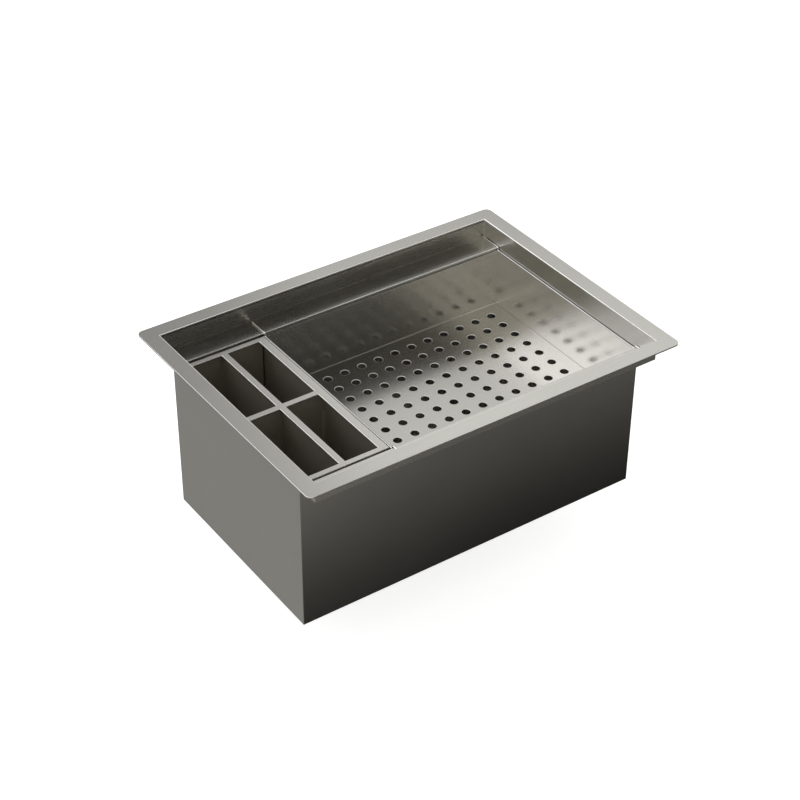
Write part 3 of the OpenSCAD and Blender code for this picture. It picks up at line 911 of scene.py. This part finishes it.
@dataclass
class Caddy(SubAssembly):
    """The four-well caddy that stands beside the tray."""

    body: str = "caddy"
    slot: str = "caddy_steel"
    sheet_ease: float = 0.3 * MM
    frame_ease: float = 0.9 * MM
    foot_ease: float = 0.8 * MM

    def build(self) -> None:
        """Makes the caddy's pieces."""
        self.dress("caddy_top_frame", "caddy_frame", CADDY_FACE, self.frame_ease, 3, EDGE_HIGHLIGHT_STEEL)
        for side in ("back", "front"):
            # The walls, partitions and base wear the browner steel of the painted shade in the wells
            self.dress(f"caddy_{side}_wall", f"caddy_{side}_side", WELL_SHADE_LONG, self.sheet_ease)
        for side in ("left", "right"):
            self.dress(f"caddy_{side}_wall", f"caddy_{side}_side", WELL_SHADE_END, self.sheet_ease)
        self.dress("caddy_long_divider", "caddy_long_partition", WELL_SHADE_END, self.sheet_ease)
        self.dress("caddy_cross_divider", "caddy_cross_partition", WELL_SHADE_LONG, self.sheet_ease)
        self.dress("caddy_base", "caddy_drain_plate", WELL_SHADE_LONG, self.sheet_ease)
        self.dress("caddy_feet", "caddy_rubber_feet", RUBBER, self.foot_ease, 3, slot="black_rubber")


@dataclass(frozen=True)
class PhotoCamera:
    """The camera at the photograph's viewing angle."""

    place: tuple[float, float, float] = (-1.29685, -1.83679, 1.52155)
    azimuth: float = -34.9575
    elevation: float = 35.8739
    roll: float = 0.3893
    lens: float = 87.42
    sensor: float = 36.0

    def build(self) -> bpy.types.Object:
        """Makes the camera and turns it towards the sink.

        Returns:
            The camera.
        """
        turn, rise, lean = (math.radians(a) for a in (self.azimuth, self.elevation, self.roll))
        back = Vector((math.sin(turn) * math.cos(rise), -math.cos(turn) * math.cos(rise), math.sin(rise)))
        level = (-back).cross(Vector((0, 0, 1))).normalized()
        upright = level.cross(-back)
        right = level * math.cos(lean) + upright * math.sin(lean)
        up = upright * math.cos(lean) - level * math.sin(lean)
        data = bpy.data.cameras.new("photo_camera")
        data.lens = self.lens
        data.sensor_width = self.sensor
        camera = bpy.data.objects.new("photo_camera", data)
        turned = Matrix((right, up, back)).transposed().to_4x4()
        camera.matrix_world = Matrix.Translation(self.place) @ turned
        bpy.context.scene.collection.objects.link(camera)
        bpy.context.scene.camera = camera
        return camera


@dataclass(frozen=True)
class Softbox:
    """A large soft lamp that faces the sink."""

    name: str
    azimuth: float
    elevation: float
    distance: float
    width: float
    height: float
    radiance: float
    colour: tuple[float, float, float] = (1.0, 1.0, 1.0)

    def build(self) -> bpy.types.Object:
        """Makes the lamp.

        Returns:
            The lamp's object.
        """
        lamp = bpy.data.lights.new(self.name, "AREA")
        lamp.shape = "RECTANGLE"
        lamp.size = self.width
        lamp.size_y = self.height
        lamp.energy = self.radiance * math.pi * self.width * self.height
        lamp.color = self.colour
        way = direction(self.azimuth, self.elevation)
        turned = way.to_track_quat("Z", "Y").to_matrix().to_4x4()
        box = bpy.data.objects.new(self.name, lamp)
        box.matrix_world = Matrix.Translation(way * self.distance) @ turned
        bpy.context.scene.collection.objects.link(box)
        return box


@dataclass(frozen=True)
class Card:
    """A flat card beside the set, which only metal sees, as a studio's flags and reflectors."""

    name: str
    centre: tuple[float, float, float]
    facing: tuple[float, float, float]
    width: float
    height: float
    paint: CardPaint

    def build(self) -> bpy.types.Object:
        """Makes the card.

        Returns:
            The card's object.
        """
        shape = bmesh.new()
        bmesh.ops.create_grid(shape, x_segments=1, y_segments=1, size=0.5)
        bmesh.ops.scale(shape, vec=(self.width, self.height, 1), verts=shape.verts)
        turned = Vector(self.facing).to_track_quat("Z", "Y").to_matrix().to_4x4()
        bmesh.ops.transform(shape, matrix=Matrix.Translation(self.centre) @ turned, verts=shape.verts)
        mesh = bpy.data.meshes.new(self.name)
        shape.to_mesh(mesh)
        shape.free()
        mesh.materials.append(made(self.paint))
        card = bpy.data.objects.new(self.name, mesh)
        bpy.context.scene.collection.objects.link(card)
        for ray in ("camera", "diffuse", "transmission", "volume_scatter", "shadow"):
            setattr(card, f"visible_{ray}", False)
        card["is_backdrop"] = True
        return card


def direction(azimuth: float, elevation: float) -> Vector:
    """Points up from the sink.

    Args:
        azimuth: degrees from +Y towards +X.
        elevation: degrees above the horizon.

    Returns:
        The unit direction.
    """
    turn, rise = math.radians(azimuth), math.radians(elevation)
    return Vector((math.sin(turn) * math.cos(rise), math.cos(turn) * math.cos(rise), math.sin(rise)))


@dataclass
class Studio:
    """The pale floor, the white surroundings, the lamps and the cards."""

    floor_gap: float = 1.5 * MM
    floor_radius: float = 30.0
    ambient: float = 0.55

    def build(self) -> None:
        """Makes the set."""
        self.floor()
        self.surroundings()
        for lamp in (
            Softbox("back_left_softbox", azimuth=-43, elevation=41, distance=3.0, width=2.7, height=2.4,
                    radiance=1.3, colour=(1.0, 1.0, 1.06)),
            Softbox("top_softbox", azimuth=20, elevation=80, distance=3.0, width=1.6, height=1.6,
                    radiance=1.4),
        ):
            lamp.build()
        for card in (
            Card("front_right_card", (1.45, -2.0, 1.1), (-0.57, 0.78, -0.3), 5.2, 5.2,
                 CardPaint("front_right_tone", (Grade(0, 0.9, 2.1, 0.035, 0.15),), (1.0, 0.95, 0.82))),
            Card("back_right_card", (1.9, 2.5, 1.9), (-0.55, -0.72, -0.45), 5.6, 4.4,
                 CardPaint("back_right_tone", (Grade(0, 1.2, 1.6, 0.42, 1.1),
                                               Grade(2, 1.86, 2.02, 0.52, 1.0),
                                               Grade(2, 2.5, 3.6, 1.0, 0.4)), (1.0, 0.995, 0.975))),
            Card("camera_side_card", (-2.3, -3.3, 2.4), (0.55, 0.77, -0.45), 5.0, 4.6,
                 CardPaint("camera_side_tone", tint=(1.0, 0.955, 0.86), tone=0.72)),
            Card("back_left_card", (-1.85, 1.99, 2.36), (0.513, -0.552, -0.656), 3.5, 3.1,
                 CardPaint("back_left_tone", tone=0.3)),
            Card("top_card", (0, 0.2, 3.6), (0, 0, -1), 3.4, 2.8,
                 CardPaint("top_tone", tone=0.15)),
            Card("front_floor_card", (0.35, -1.16, -0.35), (0, 0, 1), 3.6, 2.0,
                 CardPaint("front_floor_tone", (Grade(1, -0.2, -0.65, 0.02, 0.16),
                                                Grade(0, 0.3, -0.3, 1.0, 1.5)))),
            Card("rear_floor_card", (1.16, 1.22, -0.3673), (0, 0, 1), 2.88, 2.76,
                 CardPaint("rear_floor_tone", (Grade(0, 0.3, 1.4, 0.34, 0.2),), (1.0, 0.985, 0.95))),
            Card("left_floor_card", (-1.387, 0.3, -0.345), (0, 0, 1), 2.2, 3.4,
                 CardPaint("left_floor_tone", tint=(1.0, 0.99, 0.95), tone=0.32)),
        ):
            card.build()

    def floor(self) -> bpy.types.Object:
        """Makes the floor, just under the tailpiece.

        Returns:
            The floor.
        """
        shape = bmesh.new()
        bmesh.ops.create_circle(shape, cap_ends=True, segments=96, radius=self.floor_radius)
        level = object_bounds()[0].z - self.floor_gap
        bmesh.ops.translate(shape, vec=(0, 0, level), verts=shape.verts)
        mesh = bpy.data.meshes.new("studio_floor")
        shape.to_mesh(mesh)
        shape.free()
        mesh.materials.append(made(PaleFloor()))
        floor = bpy.data.objects.new("studio_floor", mesh)
        bpy.context.scene.collection.objects.link(floor)
        floor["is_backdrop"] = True
        return floor

    def surroundings(self) -> None:
        """Makes the world: white to the eye and to metal, and a soft even light to the rest."""
        world = bpy.data.worlds.new("studio")
        world.use_nodes = True
        bench = Bench(world.node_tree)
        strength = seen_by_eye_or_metal(bench) * (1 - self.ambient) + self.ambient
        bench.node("ShaderNodeOutputWorld", None, {0: bench.wire(
            "ShaderNodeBackground", None, {"Color": (1, 1, 1, 1), "Strength": strength})})
        bpy.context.scene.world = world


def main() -> None:
    """Builds the sink, its set and its camera."""
    logging.basicConfig(level=logging.INFO, format="%(message)s")
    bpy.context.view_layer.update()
    PhotoCamera().build()
    for assembly in (Bowl(), Waste(), Basket(), Tray(), Caddy()):
        assembly.build()
        LOG.info("%s: %d pieces", type(assembly).__name__, len(assembly.pieces))
    Studio().build()
    scene = bpy.context.scene
    scene.view_settings.view_transform = "Standard"


if __name__ == "__main__":
    main()
